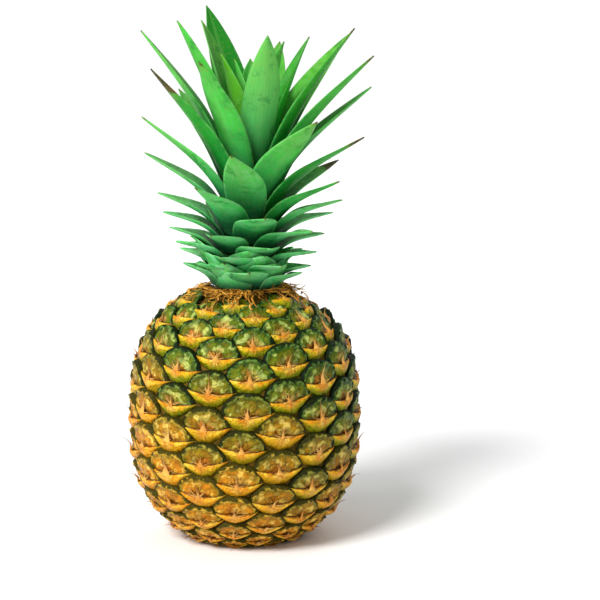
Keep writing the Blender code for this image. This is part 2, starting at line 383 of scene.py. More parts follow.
def side_radius(height):
    """The fruit's outline: two ellipse-like halves that meet at the widest height."""
    low = height < WIDEST_HEIGHT
    lower = half_height(LOWER_FULLNESS, BASE_RADIUS, WIDEST_HEIGHT)
    upper = half_height(UPPER_FULLNESS, SEAT_RADIUS, FRUIT_HEIGHT - WIDEST_HEIGHT)
    share = np.abs(height - WIDEST_HEIGHT) / np.where(low, lower, upper)
    fullness = np.where(low, LOWER_FULLNESS, UPPER_FULLNESS)
    return FRUIT_RADIUS * (1 - share**fullness) ** (1 / fullness)


class Skin:
    """The fruit's outline from the middle of its base, up its side and in under the crown."""

    def __init__(self):
        radii, heights = self.outline()
        lengths = np.concatenate([[0.0], np.cumsum(np.hypot(np.diff(radii), np.diff(heights)))])
        even = np.arange(0.0, lengths[-1], MERIDIAN_STEP)
        self.radius = self.rounded(np.interp(even, lengths, radii))
        self.height = self.rounded(np.interp(even, lengths, heights))
        widest = int(np.argmax(self.radius))
        above = np.arange(len(self.radius)) > widest
        rows = np.cumsum(MERIDIAN_STEP / (EYE_HEIGHT * self.eye_share(self.radius, above)))
        self.row = rows - rows[widest]
        slope_out = np.gradient(self.radius)
        slope_up = np.gradient(self.height)
        length = np.hypot(slope_out, slope_up)
        self.out = slope_up / length
        self.up = -slope_out / length

    @staticmethod
    def outline():
        turns = np.linspace(-math.pi / 2, math.pi / 2, 400)
        reach = np.where(turns < 0, WIDEST_HEIGHT - BASE_STANDS_OFF, FRUIT_HEIGHT - WIDEST_HEIGHT)
        side = WIDEST_HEIGHT + reach * np.sin(turns)
        inner_base = STALK_RADIUS + STALK_GAP
        radii = np.concatenate([[inner_base], side_radius(side), [STEM_BASE_RADIUS - STALK_GAP]])
        heights = np.concatenate([[BASE_STANDS_OFF], side, [FRUIT_HEIGHT]])
        return radii, heights

    @staticmethod
    def rounded(values):
        reach = int(CORNER_ROUNDING / MERIDIAN_STEP)
        padded = np.pad(values, reach, mode="reflect", reflect_type="odd")
        weights = np.hanning(2 * reach + 3)[1:-1]
        return np.convolve(padded, weights / weights.sum(), mode="valid")

    def radius_at(self, row):
        return np.interp(row, self.row, self.radius)

    def height_at(self, row):
        return np.interp(row, self.row, self.height)

    def at(self, angle, row, lift):
        """The point at this angle and row of eyes, lifted off the skin's outline."""
        angle, row, lift = np.broadcast_arrays(angle, row, lift)
        radius = self.radius_at(row) + lift * np.interp(row, self.row, self.out)
        height = self.height_at(row) + lift * np.interp(row, self.row, self.up)
        return np.stack(
            [AXIS_X + radius * np.sin(angle), AXIS_Y - radius * np.cos(angle), np.maximum(height, 0.0)],
            axis=-1,
        )

    def size(self, row):
        """An eye's size in this row, over its size where the fruit is widest."""
        return self.eye_share(self.radius_at(row), row > 0)

    @staticmethod
    def eye_share(radius, above):
        """An eye's size at this radius, above or below the widest row."""
        smallest = np.where(above, SMALLEST_HIGH_EYE, SMALLEST_LOW_EYE)
        return smallest + (1 - smallest) * radius / FRUIT_RADIUS

    def fullness(self, angle, row):
        """1 on the fruit's sides, 0 at both its ends, and less than 0 on its rounded shoulder."""
        height = self.height_at(row) / FRUIT_HEIGHT
        radius = self.radius_at(row)
        sides = smooth(height, *LOW_FADE) * (1 - smooth(height, *HIGH_FADE))
        shoulder = smooth(radius, *SHOULDER_IN) * (1 - smooth(radius, *SHOULDER_OUT)) * (np.asarray(row) > 0)
        return sides - SHOULDER_DROP * shoulder * (1 + SHOULDER_LEAN * np.sin(angle))


skin = Skin()


# Eyes: one fruitlet each, in the order that they grow in

ANGLE_SPREAD = 0.008
ROW_SPREAD = 0.012
TILT_SPREAD = 0.045
SCALE_SPREAD = 0.03
WAVE_SHIFT = 9  # how far an eye's luck shifts the waves in its outline and its faces
RIPE_BELOW = 0.66  # of the fruit's height
RIPE_SIDE = 0.2  # how much sooner it ripens on the left
RIPE_SPREAD = 0.06
RIPE_FADE = (-0.12, 0.52)


class Eye:
    """One fruitlet: a place on the skin, and how ripe and how uneven it is."""

    def __init__(self, number):
        self.angle = number * EYE_TURN + about(ANGLE_SPREAD)
        self.row = number / EYE_COLUMNS + about(ROW_SPREAD)
        self.size = float(skin.size(self.row))
        narrowing = float(skin.radius_at(self.row)) / FRUIT_RADIUS
        self.widening = narrowing**-HIGH_EYE_WIDENING if self.row > 0 else 1.0
        self.fullness = float(skin.fullness(self.angle, self.row))
        self.tilt = about(TILT_SPREAD)
        self.scale = 1.0 + about(SCALE_SPREAD)
        self.luck = chance.random(6)
        height = float(skin.height_at(self.row)) / FRUIT_HEIGHT
        side = RIPE_SIDE * math.sin(self.angle)
        below = RIPE_BELOW - height - side + about(RIPE_SPREAD)
        self.ripeness = float(smooth(below, *RIPE_FADE))
        self.tone = (self.ripeness, self.luck[0], self.luck[1])

    def wave(self, number, phase):
        """A wave from -1 to 1, shifted by one of the eye's lucky numbers."""
        return np.sin(phase + self.luck[number] * WAVE_SHIFT)

    def place(self, x, y, lift):
        """The point x to the right and y above the eye's middle, as lengths where the fruit is widest."""
        turned_x = (x * math.cos(self.tilt) - y * math.sin(self.tilt)) * self.scale
        turned_y = (x * math.sin(self.tilt) + y * math.cos(self.tilt)) * self.scale
        angle = self.angle + turned_x / FRUIT_RADIUS * self.widening
        row = self.row + turned_y / EYE_HEIGHT
        return skin.at(angle, row, lift * self.size + SKIN_LIFT * self.fullness)


# Eye shields: the outer face of each eye, a green dome above and a yellow bract below it

SHIELD_HALF_WIDTH = 0.0145
SHIELD_CORNER = -0.0026  # the height of its two corners, from the eye's middle
CORNER_HALF_HEIGHT = 0.0004
ARCH_SHARE = 0.88  # of the half width: the bract's wings reach further than the dome
ARCH_TOP = 0.0075
ARCH_SQUARENESS = 2.5
ARCH_FULLNESS = 0.62
BRACT_EDGE = -0.005  # the bract's upper edge, at the middle
BRACT_EDGE_CORNER = -0.0026
BRACT_EDGE_CURVE = 1.6
BRACT_POINT = -0.0126  # the lowest point
POINT_ROUNDING = 0.025
BRACT_STRAIGHTNESS = 1.4
SHIELD_COLUMNS = 25
COLUMN_CROWDING = 0.7  # how much closer the columns stand at both sides
BRACT_LEVELS = (-1.0, -0.95, -0.88, -0.78, -0.65, -0.5, -0.36, -0.23, -0.12, -0.04, 0.0)
DOME_LEVELS = (0.03, 0.09, 0.2, 0.34, 0.48, 0.62, 0.74, 0.84, 0.92, 0.975, 1.0)
EDGE_WAVE = 0.00035
EDGE_WAVES = (17, 7)  # radians of each wave from the middle to one side
ARCH_WAVE = 0.0004
ARCH_WAVES = 4.5
ARCH_VARIETY = 0.0012  # between the lowest arch and the highest
POINT_WAVE = 0.0004
POINT_WAVES = 5
SIDE_WAVE = 0.0005
SIDE_WAVES = 3
RIM_WIDTH = 0.0034  # of the dark band inside the arch

# Lifts of its faces
FOOT_LIFT = -0.0026  # the shield's rim, buried under the groove skin
BRACT_LOW_LIFT = -0.0015
BRACT_LIFT = 0.0029
BRACT_FALL = 0.62  # how much lower its wings are
BRACT_RIDGE = 0.0006
RIDGE_WIDTH = 0.0032
BRACT_RIPPLE = 0.00022
BRACT_RIPPLES = 1300  # radians of the ripple in a metre
BRACT_RISE = (-0.03, 0.1)  # where it comes up out of the groove
DOME_FOOT_LIFT = 0.0008
DOME_LIFT = 0.0019
DOME_FALL = 0.5  # how much lower its sides are
DOME_VARIETY = (0.8, 0.4)  # the lowest, and how much higher the highest is
DOME_RISE = (-0.1, 0.5)
DOME_EDGE = 0.82  # where it starts to curve down into the groove
DOME_EDGE_LENGTH = 0.185
RIM_LIFT = 0.0009
RIM_PLACE = 0.84
RIM_SPREAD = 0.13
SEAMS = ((0.8, 1.0), (2.3, 1.0), (1.5, 0.6))  # each one's angle round the beak's foot, and its share
SEAM_SHIFT = 0.3
SEAM_WIDTH = 0.07
SEAM_DEPTH = 0.001
SEAM_START = (0.002, 0.005)  # from the beak's foot
SEAM_END = (0.0085, 0.0115)
HOLLOW_DEPTH = 0.0011  # round the beak's foot
HOLLOW_WIDTH = 0.0034
DOME_DENTS = 0.00042
DENT_WAVES = (950, 1100)
DOME_RIPPLE = 0.0003
RIPPLE_WAVES = (1700, 900)


def shield_outline(across):
    """Heights of the arch, of the bract's upper edge and of its lower edge, across from -1 to 1."""
    away = np.abs(across)
    arch = (1 - np.minimum(away / ARCH_SHARE, 1) ** ARCH_SQUARENESS) ** ARCH_FULLNESS
    top = SHIELD_CORNER + CORNER_HALF_HEIGHT + (ARCH_TOP - SHIELD_CORNER) * arch
    near = math.sqrt(POINT_ROUNDING)
    straight = (np.sqrt(across**2 + POINT_ROUNDING) - near) / (math.sqrt(1 + POINT_ROUNDING) - near)
    depth = BRACT_POINT - SHIELD_CORNER
    bottom = SHIELD_CORNER - CORNER_HALF_HEIGHT + depth * (1 - straight**BRACT_STRAIGHTNESS)
    edge = BRACT_EDGE + (BRACT_EDGE_CORNER - BRACT_EDGE) * away**BRACT_EDGE_CURVE
    return top, edge, bottom


def bract_lift(eye, x, away, level):
    share = np.clip(level + 1, 0, 1)
    crest = BRACT_LIFT * (1 - BRACT_FALL * away**1.5) + BRACT_RIDGE * hump(x, 0.0, RIDGE_WIDTH)
    bract = mixed(BRACT_LOW_LIFT, crest, np.sin(share * math.pi / 2))
    bract = bract + BRACT_RIPPLE * eye.wave(1, x * BRACT_RIPPLES) * share * (1 - away)
    return FOOT_LIFT + (bract - FOOT_LIFT) * np.sqrt(smooth(share, *BRACT_RISE))


def dome_lift(eye, x, y, away, level, reach, turn):
    share = np.clip(level, 0, 1)
    bulge = DOME_LIFT * (1 - DOME_FALL * away**2.5) * (DOME_VARIETY[0] + DOME_VARIETY[1] * eye.luck[2])
    dome = mixed(DOME_FOOT_LIFT, bulge, smooth(share, *DOME_RISE))
    seams = sum(
        hump(turn, centre + SEAM_SHIFT * (eye.luck[index] - 0.5), SEAM_WIDTH) * part
        for index, (centre, part) in enumerate(SEAMS)
    )
    dome -= SEAM_DEPTH * seams * smooth(reach, *SEAM_START) * (1 - smooth(reach, *SEAM_END))
    dome -= HOLLOW_DEPTH * hump(reach, 0.0, HOLLOW_WIDTH)
    dome += RIM_LIFT * hump(share, RIM_PLACE, RIM_SPREAD) * (1 - away**4)
    dome += DOME_DENTS * eye.wave(3, x * DENT_WAVES[0]) * eye.wave(4, y * DENT_WAVES[1])
    dome += DOME_RIPPLE * eye.wave(5, x * RIPPLE_WAVES[0] + y * RIPPLE_WAVES[1])
    fall = np.sqrt(1 - np.clip((share - DOME_EDGE) / DOME_EDGE_LENGTH, 0, 1) ** 2)
    return FOOT_LIFT + (dome - FOOT_LIFT) * fall


def shield_points(eye):
    """A shield's grid of points, and where each is on it."""
    levels = np.array(BRACT_LEVELS + DOME_LEVELS)
    even = np.linspace(-1, 1, SHIELD_COLUMNS)
    across, level = np.meshgrid(mixed(even, np.sin(even * math.pi / 2), COLUMN_CROWDING), levels)
    away = np.abs(across)
    top, edge, bottom = shield_outline(across)
    ragged = EDGE_WAVE * eye.wave(0, across * EDGE_WAVES[0]) * eye.wave(3, across * EDGE_WAVES[1])
    edge = edge + ragged * (1 - away)
    arch_wave = ARCH_WAVE * eye.wave(4, across * ARCH_WAVES) * (1 - away)
    top = top + arch_wave + (eye.luck[2] - 0.5) * ARCH_VARIETY * (1 - away**2)
    bottom = bottom + POINT_WAVE * eye.wave(5, across * POINT_WAVES) * (1 - away)
    y = np.where(level < 0, edge + (edge - bottom) * level, edge + (top - edge) * level)
    x = across * SHIELD_HALF_WIDTH + SIDE_WAVE * eye.wave(1, level * SIDE_WAVES) * (1 - away)
    reach = np.hypot(x, y - BRACT_EDGE)
    turn = np.arctan2(y - BRACT_EDGE, x)
    dome = dome_lift(eye, x, y, away, level, reach, turn)
    lift = np.where(level <= 0, bract_lift(eye, x, away, level), dome)
    lift = FOOT_LIFT + (lift - FOOT_LIFT) * np.sqrt(np.clip(1 - away**7, 0, 1))

    side_gap = np.maximum(ARCH_SHARE - away, 0) * SHIELD_HALF_WIDTH * 1.2
    rim_gap = np.clip(np.minimum(np.maximum(top - y, 0), side_gap) / RIM_WIDTH, 0, 2)
    wing_gap = (1 - away) * SHIELD_HALF_WIDTH * 0.6 + 0.0002
    low_gap = np.clip(np.minimum(np.maximum(y - bottom, 0), wing_gap) / RIM_WIDTH, 0, 3)
    place = np.stack([across, level, reach / SHIELD_HALF_WIDTH], axis=-1)
    marks = np.stack([rim_gap, low_gap, turn / math.pi], axis=-1)
    return eye.place(x, y, lift), place, marks


def add_shields(eyes, material):
    parts = Parts("eye_place", "eye_marks", "eye_tone")
    for eye in eyes:
        grid, place, marks = shield_points(eye)
        rows, columns = grid.shape[:2]
        faces = grid_faces(rows, columns, parts.count)
        faces.append(tuple(reversed(grid_rim(rows, columns, parts.count))))
        parts.add(grid, faces, eye_place=place, eye_marks=marks, eye_tone=eye.tone)
    parts.join("eye_shields", material, ["fruit"])


# Beaks: the dry papery point in the middle of each bract, with shreds round its foot

BEAK_FOOT = -0.0058
BEAK_LENGTH = 0.006
BEAK_VARIETY = 0.0066  # how much longer the longest is
PAPER_VARIETY = (0.6, 0.8)  # the narrowest foot, and how much wider the widest is
PAPER_END = 1.6
BEAK_CLEARANCE = 0.0005
BEAK_BEND = 0.007
BEAK_HALF_WIDTH = 0.0019
SPINE_HALF_WIDTH = 0.00028
BEAK_SAG = 0.0012
BEAK_CURL = 0.0008
CURL_VARIETY = 0.0052
BEAK_TWIST = 0.002
BEAK_ARCH = 0.0006
BEAK_COLUMNS = 5
BEAK_ROWS = 12
MOST_SHREDS = 5
SHRED_ROWS = 5
SHRED_LENGTHS = (0.0024, 0.0044)  # the shortest, and how much longer the longest is
SHRED_WIDTHS = (0.0002, 0.0007)
SHRED_RISE = 0.0018
SHRED_SPREAD = 0.16
SHRED_TIP = 0.00012
SHRED_BOW = 0.35
SHRED_FOOT = 0.0002  # above the bract's edge
SHRED_LIFTS = (-0.0004, 0.0003)  # at its foot off the bract, and at its tip off the dome
PAPER_THICKNESS = 0.00024


def strip_grid(columns, rows):
    return np.meshgrid(np.linspace(-1, 1, columns), np.linspace(0, 1, rows))


def beak_points(eye):
    """The main point: broad and papery at its foot, and a thin spine at its tip that curls off the skin."""
    across, up = strip_grid(BEAK_COLUMNS, BEAK_ROWS)
    whole = BEAK_LENGTH + BEAK_VARIETY * eye.luck[5] ** 1.3
    bend = (eye.luck[0] - 0.5) * BEAK_BEND
    paper = BEAK_HALF_WIDTH * (PAPER_VARIETY[0] + PAPER_VARIETY[1] * eye.luck[1])
    paper = paper * np.clip(1 - up * PAPER_END, 0, 1) ** 1.5
    x = across * (paper + SPINE_HALF_WIDTH * (1.15 - up)) + bend * up**2.2
    y = BEAK_FOOT + whole * up * (1 - 0.3 * up * eye.luck[4])
    curl = BEAK_CURL + CURL_VARIETY * eye.luck[4] ** 1.3
    lift = BRACT_LIFT + BEAK_CLEARANCE - BEAK_SAG * smooth(up, 0.1, 0.5) + curl * up**2.4
    lift += (eye.luck[3] - 0.5) * BEAK_TWIST * across * np.sqrt(up) * (1 - up)
    lift -= BEAK_ARCH * across**2 * (1 - up)
    return x, y, lift, across, up


def shred_points(eye, turn, whole, width, raise_by):
    """A thin torn strip that points away from the beak's foot."""
    across, up = strip_grid(3, SHRED_ROWS)
    side = across * (width * (1 - up) + SHRED_TIP)
    bowed = turn + SHRED_BOW * up * (eye.luck[1] - 0.5)
    x = np.cos(bowed) * whole * up - math.sin(turn) * side
    y = BRACT_EDGE + SHRED_FOOT + np.sin(bowed) * whole * up + math.cos(turn) * side
    low, high = BRACT_LIFT + SHRED_LIFTS[0], DOME_LIFT + SHRED_LIFTS[1]
    lift = mixed(low, high, np.minimum(up * 1.4, 1)) + raise_by * up**2
    return x, y, lift, across, up


def paper_strips(eye):
    """The beak and the shreds of one eye."""
    strips = [beak_points(eye)]
    count = 1 + int(chance.integers(0, MOST_SHREDS))
    for turn in np.linspace(0.3, math.pi - 0.3, count) + chance.normal(0.0, SHRED_SPREAD, count):
        whole = SHRED_LENGTHS[0] + SHRED_LENGTHS[1] * lucky()
        width = SHRED_WIDTHS[0] + SHRED_WIDTHS[1] * lucky() ** 2
        raise_by = SHRED_RISE * lucky() ** 2
        strips.append(shred_points(eye, float(turn), whole, width, raise_by))
    return strips


def add_beaks(eyes, material):
    parts = Parts("eye_place", "eye_tone")
    for eye in eyes:
        for x, y, lift, across, up in paper_strips(eye):
            front, back = eye.place(x, y, lift), eye.place(x, y, lift - PAPER_THICKNESS)
            points, faces = sheet_solid(front, back, parts.count)
            place = np.stack([across, up, np.full_like(up, lucky())], axis=-1)
            parts.add(points, faces, eye_place=np.concatenate([place, place]), eye_tone=eye.tone)
    parts.join("eye_beaks", material)


# Dry fibres round the foot of the crown

FIBRE_COUNT = 460
FIBRE_TUFTS = (  # each one's angle, spread, depth down the shoulder in rows, and how much it stands up
    (-0.35, 0.34, 0.4, 1.0),
    (1.25, 0.16, 0.34, 3.0),
    (-0.55, 0.4, 0.36, 1.2),
    (2.8, 0.6, 0.28, 1.4),
    (0.0, 3.1, 0.3, 1.0),
    (0.5, 3.1, 0.18, 1.0),
)
FIBRE_STEPS = 7
FIBRE_SIDES = 4
SEAT_MARGIN = 0.004  # how far from the stem the fibres grow
SEAT_ROWS = 0.14
FIBRE_LENGTHS = (0.0025, 0.0065)
FIBRE_HEADINGS = 0.65
FIBRE_LIFTS = (0.0003, 0.0021)
FIBRE_RISES = (-0.0008, 0.0014)
FIBRE_BOWS = 0.0009
FIBRE_GIRTHS = (0.00022, 0.0011)
FIBRE_TAPER = 0.75
FIBRE_FLATNESS = 0.35
FIBRE_PIVOT = 0.3  # of its length: where it stands on its place
HIGH_ROW_SHARE = 0.7  # of a row's usual height, on the shoulder
FIBRE_LIMIT = 0.02  # rows below the skin's last one


def unit(vectors):
    return vectors / np.maximum(np.linalg.norm(vectors, axis=1, keepdims=True), 1e-9)


def fibre_tube(middle, girth):
    """Rings of points round a fibre's midline, flattened onto the skin."""
    along = unit(np.gradient(middle, axis=0))
    side = unit(np.cross(along, [0.0, 0.0, 1.0]))
    over = np.cross(side, along)
    turns = np.linspace(0, 2 * math.pi, FIBRE_SIDES, endpoint=False)[None, :, None]
    ring = np.cos(turns) * side[:, None] + np.sin(turns) * over[:, None] * FIBRE_FLATNESS
    return middle[:, None] + ring * girth[:, None, None]


def add_fibres(material):
    """Brown and tan threads, the withered remains of the flower's stalk leaves, strewn on the shoulder."""
    parts = Parts("eye_place", "eye_tone")
    last_row = float(skin.row[-1])
    high = skin.row > 0
    seat_radius = STEM_BASE_RADIUS + SEAT_MARGIN
    seat_row = float(np.interp(seat_radius, skin.radius[high][::-1], skin.row[high][::-1]))
    share = np.linspace(0, 1, FIBRE_STEPS)
    for number in range(FIBRE_COUNT):
        centre, spread, depth, stand = FIBRE_TUFTS[number % len(FIBRE_TUFTS)]
        angle = centre + about(spread)
        row = seat_row + SEAT_ROWS - abs(about(depth))
        length = between(FIBRE_LENGTHS)
        heading = about(FIBRE_HEADINGS)
        lift = between(FIBRE_LIFTS)
        rise = between(FIBRE_RISES) * stand
        bow = about(FIBRE_BOWS)
        girth = between(FIBRE_GIRTHS) * (1 - FIBRE_TAPER * share)
        luck = (lucky(), lucky())
        ahead = length * (share - FIBRE_PIVOT)
        aside = bow * np.sin(share * math.pi)
        x = math.sin(heading) * ahead + math.cos(heading) * aside
        y = -math.cos(heading) * ahead + math.sin(heading) * aside
        rows = np.minimum(row + y / EYE_HEIGHT / HIGH_ROW_SHARE, last_row - FIBRE_LIMIT)
        middle = skin.at(angle + x / float(skin.radius_at(row)), rows, lift + rise * share**1.5)
        tube = fibre_tube(middle, girth)
        first, last = parts.count, parts.count + (FIBRE_STEPS - 1) * FIBRE_SIDES
        faces = tube_faces(FIBRE_STEPS, FIBRE_SIDES, first)
        faces.append(tuple(first + corner for corner in range(FIBRE_SIDES - 1, -1, -1)))
        faces.append(tuple(last + corner for corner in range(FIBRE_SIDES)))
        along = np.repeat(share, FIBRE_SIDES)
        place = np.stack([np.zeros_like(along), along, np.full_like(along, luck[0])], axis=-1)
        parts.add(tube, faces, eye_place=place, eye_tone=(0.5, luck[1], luck[0]))
    parts.join("crown_fibres", material)


# The skin between the eyes

GROOVE_SIDES = 160
GROOVE_ROWS = 110


def add_groove_skin(material):
    """The closed skin at the bottom of the grooves, with the recess that holds the cut stalk."""
    rows = np.linspace(skin.row[0], skin.row[-1], GROOVE_ROWS)
    angles = np.linspace(0, 2 * math.pi, GROOVE_SIDES, endpoint=False)
    angle, row = np.meshgrid(angles, rows)
    side = skin.at(angle, row, FLOOR_LIFT + SKIN_LIFT * skin.fullness(angle, row))
    base_ring = side[0].copy()
    base_ring[:, 2] = STALK_TOP + STALK_GAP
    middle = np.array([[AXIS_X, AXIS_Y, STALK_TOP + STALK_GAP], [AXIS_X, AXIS_Y, side[-1, 0, 2]]])
    points = np.concatenate([base_ring, side.reshape(-1, 3), middle])
    faces = tube_faces(GROOVE_ROWS + 1, GROOVE_SIDES)
    last = GROOVE_ROWS * GROOVE_SIDES
    low, high = len(points) - 2, len(points) - 1
    for column in range(GROOVE_SIDES):
        beside = (column + 1) % GROOVE_SIDES
        faces.append((beside, column, low))
        faces.append((last + column, last + beside, high))
    add_piece("groove_skin", points, faces, [material], ["fruit"])


# Leaves


def stem_radius(height):
    return mixed(STEM_BASE_RADIUS, STEM_TOP_RADIUS, (height / STEM_HEIGHT) ** STEM_TAPER)


def on_outline(points, share):
    """The point this share of the way along a smooth curve through a list of points."""
    place = min(1.0, max(0.0, share)) * (len(points) - 1)
    index = min(int(place), len(points) - 2)
    part = place - index
    before, after = points[max(index - 1, 0)], points[min(index + 2, len(points) - 1)]
    found = []
    for a, b, c, d in zip(before, points[index], points[index + 1], after):
        slope_b, slope_c = (c - a) / 2, (d - b) / 2
        cube = 2 * b - 2 * c + slope_b + slope_c
        square = 3 * c - 3 * b - 2 * slope_b - slope_c
        found.append(((cube * part + square) * part + slope_b) * part + b)
    return found


def leaf_bones(growth, length_share):
    """The four (radius, height) points about the crown's axis that steer a leaf's midline."""
    base_height = mixed(LOWEST_LEAF_HEIGHT, HIGHEST_LEAF_HEIGHT, growth**STEM_CROWDING)
    base_radius = stem_radius(base_height) + CLEARANCE + LEAF_THICKNESS / 2
    tip_radius, tip_height = on_outline(TIP_OUTLINE, growth**TIP_CROWDING)
    tip_radius = base_radius + (tip_radius - base_radius) * length_share
    tip_height = base_height + (tip_height - base_height) * length_share
    chord = math.hypot(tip_radius - base_radius, tip_height - base_height)
    lean = math.atan2(tip_radius - base_radius, tip_height - base_height)
    start = max(lean - mixed(LOW_BASE_BEND, HIGH_BASE_BEND, growth), LEAST_BASE_ANGLE)
    end = lean + TIP_BEND
    base_pull = chord * mixed(LOW_BASE_PULL, HIGH_BASE_PULL, growth)
    tip_pull = chord * TIP_PULL
    bones = np.array(
        [
            (base_radius, base_height),
            (base_radius + base_pull * math.sin(start), base_height + base_pull * math.cos(start)),
            (tip_radius - tip_pull * math.sin(end), tip_height - tip_pull * math.cos(end)),
            (tip_radius, tip_height),
        ]
    )
    bones[2:, 1] += LOW_TIP_LIFT * (1 - smooth(growth, 0.12, 0.5)) * np.array([0.5, 1.0])
    return bones


def along_bones(bones, share):
    """The midline's radius, height and slant from the vertical, this share of the way along."""
    rest = 1 - share
    weights = np.stack([rest**3, 3 * rest**2 * share, 3 * rest * share**2, share**3])
    slopes = np.stack([rest**2, 2 * rest * share, share**2])
    radius = np.tensordot(bones[:, 0], weights, 1)
    height = np.tensordot(bones[:, 1], weights, 1)
    outward = np.tensordot(np.diff(bones[:, 0]), slopes, 1)
    upward = np.tensordot(np.diff(bones[:, 1]), slopes, 1)
    return radius, height, np.arctan2(outward, upward)


def half_width(growth, share):
    widest = mixed(LOW_HALF_WIDTH, HIGH_HALF_WIDTH, growth)
    base_share = mixed(LOW_BASE_SHARE, HIGH_BASE_SHARE, growth)
    below = mixed(base_share, 1.0, np.sin(math.pi / 2 * np.minimum(share / LEAF_WIDEST_AT, 1.0)))
    past = np.clip((share - LEAF_WIDEST_AT) / (1 - LEAF_WIDEST_AT), 0.0, 1.0)
    taper = mixed(LEAF_TAPER, HIGH_LEAF_TAPER, smooth(growth, 0.45, 0.85))
    return widest * np.where(share < LEAF_WIDEST_AT, below, 1 - past**taper)


BLADE_ROWS = 44
BLADE_COLUMNS = 15
BLADE_END = 0.996  # of the leaf's length: the blade's last row, just short of a point
THIN_MARGIN = 0.00012
MIDDLE_THICKNESS = 1.25  # of the usual thickness, at the blade's foot
TIP_THINNING = 0.45
ROW_CROWDING = 0.9  # towards the blade's tip


def blade_points(bones, growth, angle, sway, twist):
    """A leaf's middle surface about the crown's axis, and each point's place across and along it."""
    across, share = np.meshgrid(
        np.linspace(-1, 1, BLADE_COLUMNS), np.linspace(0, 1, BLADE_ROWS) ** ROW_CROWDING * BLADE_END
    )
    radius, height, slant = along_bones(bones, share)
    most_wrap = mixed(BASE_WRAP, LEAF_WRAP, smooth(share, WRAP_START, WRAP_FULL))
    drawn_in = mixed(LOW_DRAWN_IN, HIGH_DRAWN_IN, smooth(growth, 0.1, 0.6)) * smooth(share, 0.4, 0.92)
    width = half_width(growth, share) * (1 - drawn_in)
    wrap = np.minimum(width / radius, most_wrap)
    turn = angle + sway * share**2 + across * wrap
    channel = CHANNEL_DEPTH * smooth(share, CHANNEL_START, CHANNEL_FULL) * np.sqrt(1 - share)
    rise = channel * np.abs(across) ** CHANNEL_CURVE
    rise = rise + twist * across * smooth(share, 0.2, 1.0) * np.sqrt(1 - share)
    out = radius - rise * np.cos(slant)
    points = np.stack([out * np.sin(turn), -out * np.cos(turn), height + rise * np.sin(slant)], axis=-1)
    return points, across, share


def add_blade(name, bones, growth, angle, bend, tone, mood, material, node=None):
    """A leaf as a closed blade, thick in the middle and thin at its margins."""
    middle, across, share = blade_points(bones, growth, angle, *bend)
    thickness = LEAF_THICKNESS * MIDDLE_THICKNESS * (1 - TIP_THINNING * share) * (1 - across**4) + THIN_MARGIN
    normals = surface_normals(middle)
    outer = middle - normals * thickness[..., None] / 2
    inner = middle + normals * thickness[..., None] / 2
    if float(np.mean(np.sum(normals[:4, :, :2] * middle[:4, :, :2], axis=-1))) > 0:
        outer, inner = inner, outer
    points, faces = sheet_solid(outer, inner)
    crown = np.array(CROWN_FRAME)
    points = points @ crown[:3, :3].T + crown[:3, 3]
    piece = add_piece(name, points, faces, [material], [node] if node else [])
    place = np.stack([across, share, np.zeros_like(share)], axis=-1).reshape(-1, 3)
    inside = place.copy()
    inside[:, 2] = 1.0
    set_points(piece, "leaf_place", np.concatenate([place, inside]))
    set_points(piece, "leaf_tone", np.tile(tone, (len(points), 1)))
    set_points(piece, "leaf_mood", np.tile(mood, (len(points), 1)))


def add_leaves(material):
    for index in range(LEAF_COUNT):
        turn, length_share = LEAF_CHARACTER.get(index, (0.0, 1.0))
        growth = index / (LEAF_COUNT - 1)
        angle = FIRST_LEAF_ANGLE + index * LEAF_TURN + math.radians(turn)
        sway = LEAF_SWAY * math.sin(index * SWAY_STEP)
        twist = about(TWIST_SPREAD)
        tone = (growth, lucky(), lucky())
        mood = LEAF_MOODS.get(index, (0.25 * tone[1], 0.0, 0.08 * tone[2]))
        number = f"{index + 1:02d}"
        bones = leaf_bones(growth, length_share)
        bend = (sway, twist)
        node = "crown_leaf_" + number
        add_blade("leaf_blade_" + number, bones, growth, angle, bend, tone, mood, material, node)
    places = []
    for index in range(EXTRA_LEAF_COUNT):
        growth = mixed(0.0, EXTRA_LEAF_GROWTH, (index + 0.5) / EXTRA_LEAF_COUNT)
        angle = FIRST_LEAF_ANGLE + (growth * (LEAF_COUNT - 1) + 0.5) * LEAF_TURN + EXTRA_LEAF_TURN
        places.append((growth, angle))
    places += [(growth, math.radians(degrees)) for growth, degrees in GAP_LEAVES]
    for index, (growth, angle) in enumerate(places):
        bones = leaf_bones(growth, between(EXTRA_LEAF_LENGTHS))
        bones[2:, 1] += between(EXTRA_TIP_LIFTS)
        tone = (growth, lucky(), lucky())
        mood = (0.3 * tone[1], 0.35 * tone[2], 0.15 * tone[2])
        add_blade(f"leaf_scale_{index + 1:02d}", bones, growth, angle, (0.0, 0.0), tone, mood, material)


# Materials


class Value:
    """What a node gives out, so that sums with it can be written plainly: each makes one more node."""

    def __init__(self, socket):
        self.socket = socket
        self.tree = socket.id_data

    def sum(self, operation, first, second=0.5):
        node = self.tree.nodes.new("ShaderNodeMath")
        node.operation = operation
        set_input(node.inputs[0], first)
        set_input(node.inputs[1], second)
        return Value(node.outputs[0])

    def __add__(self, other):
        return self.sum("ADD", self, other)

    def __sub__(self, other):
        return self.sum("SUBTRACT", self, other)

    def __rsub__(self, other):
        return self.sum("SUBTRACT", other, self)

    def __mul__(self, other):
        return self.sum("MULTIPLY", self, other)

    def __rtruediv__(self, other):
        return self.sum("DIVIDE", other, self)

    def __abs__(self):
        return self.sum("ABSOLUTE", self)


def set_input(socket, value):
    """Sets a node's input to a number or a colour, or links another node's value to it."""
    if isinstance(value, Value):
        value.tree.links.new(value.socket, socket)
    elif isinstance(value, tuple):
        socket.default_value = (*value, 1.0)
    else:
        socket.default_value = value


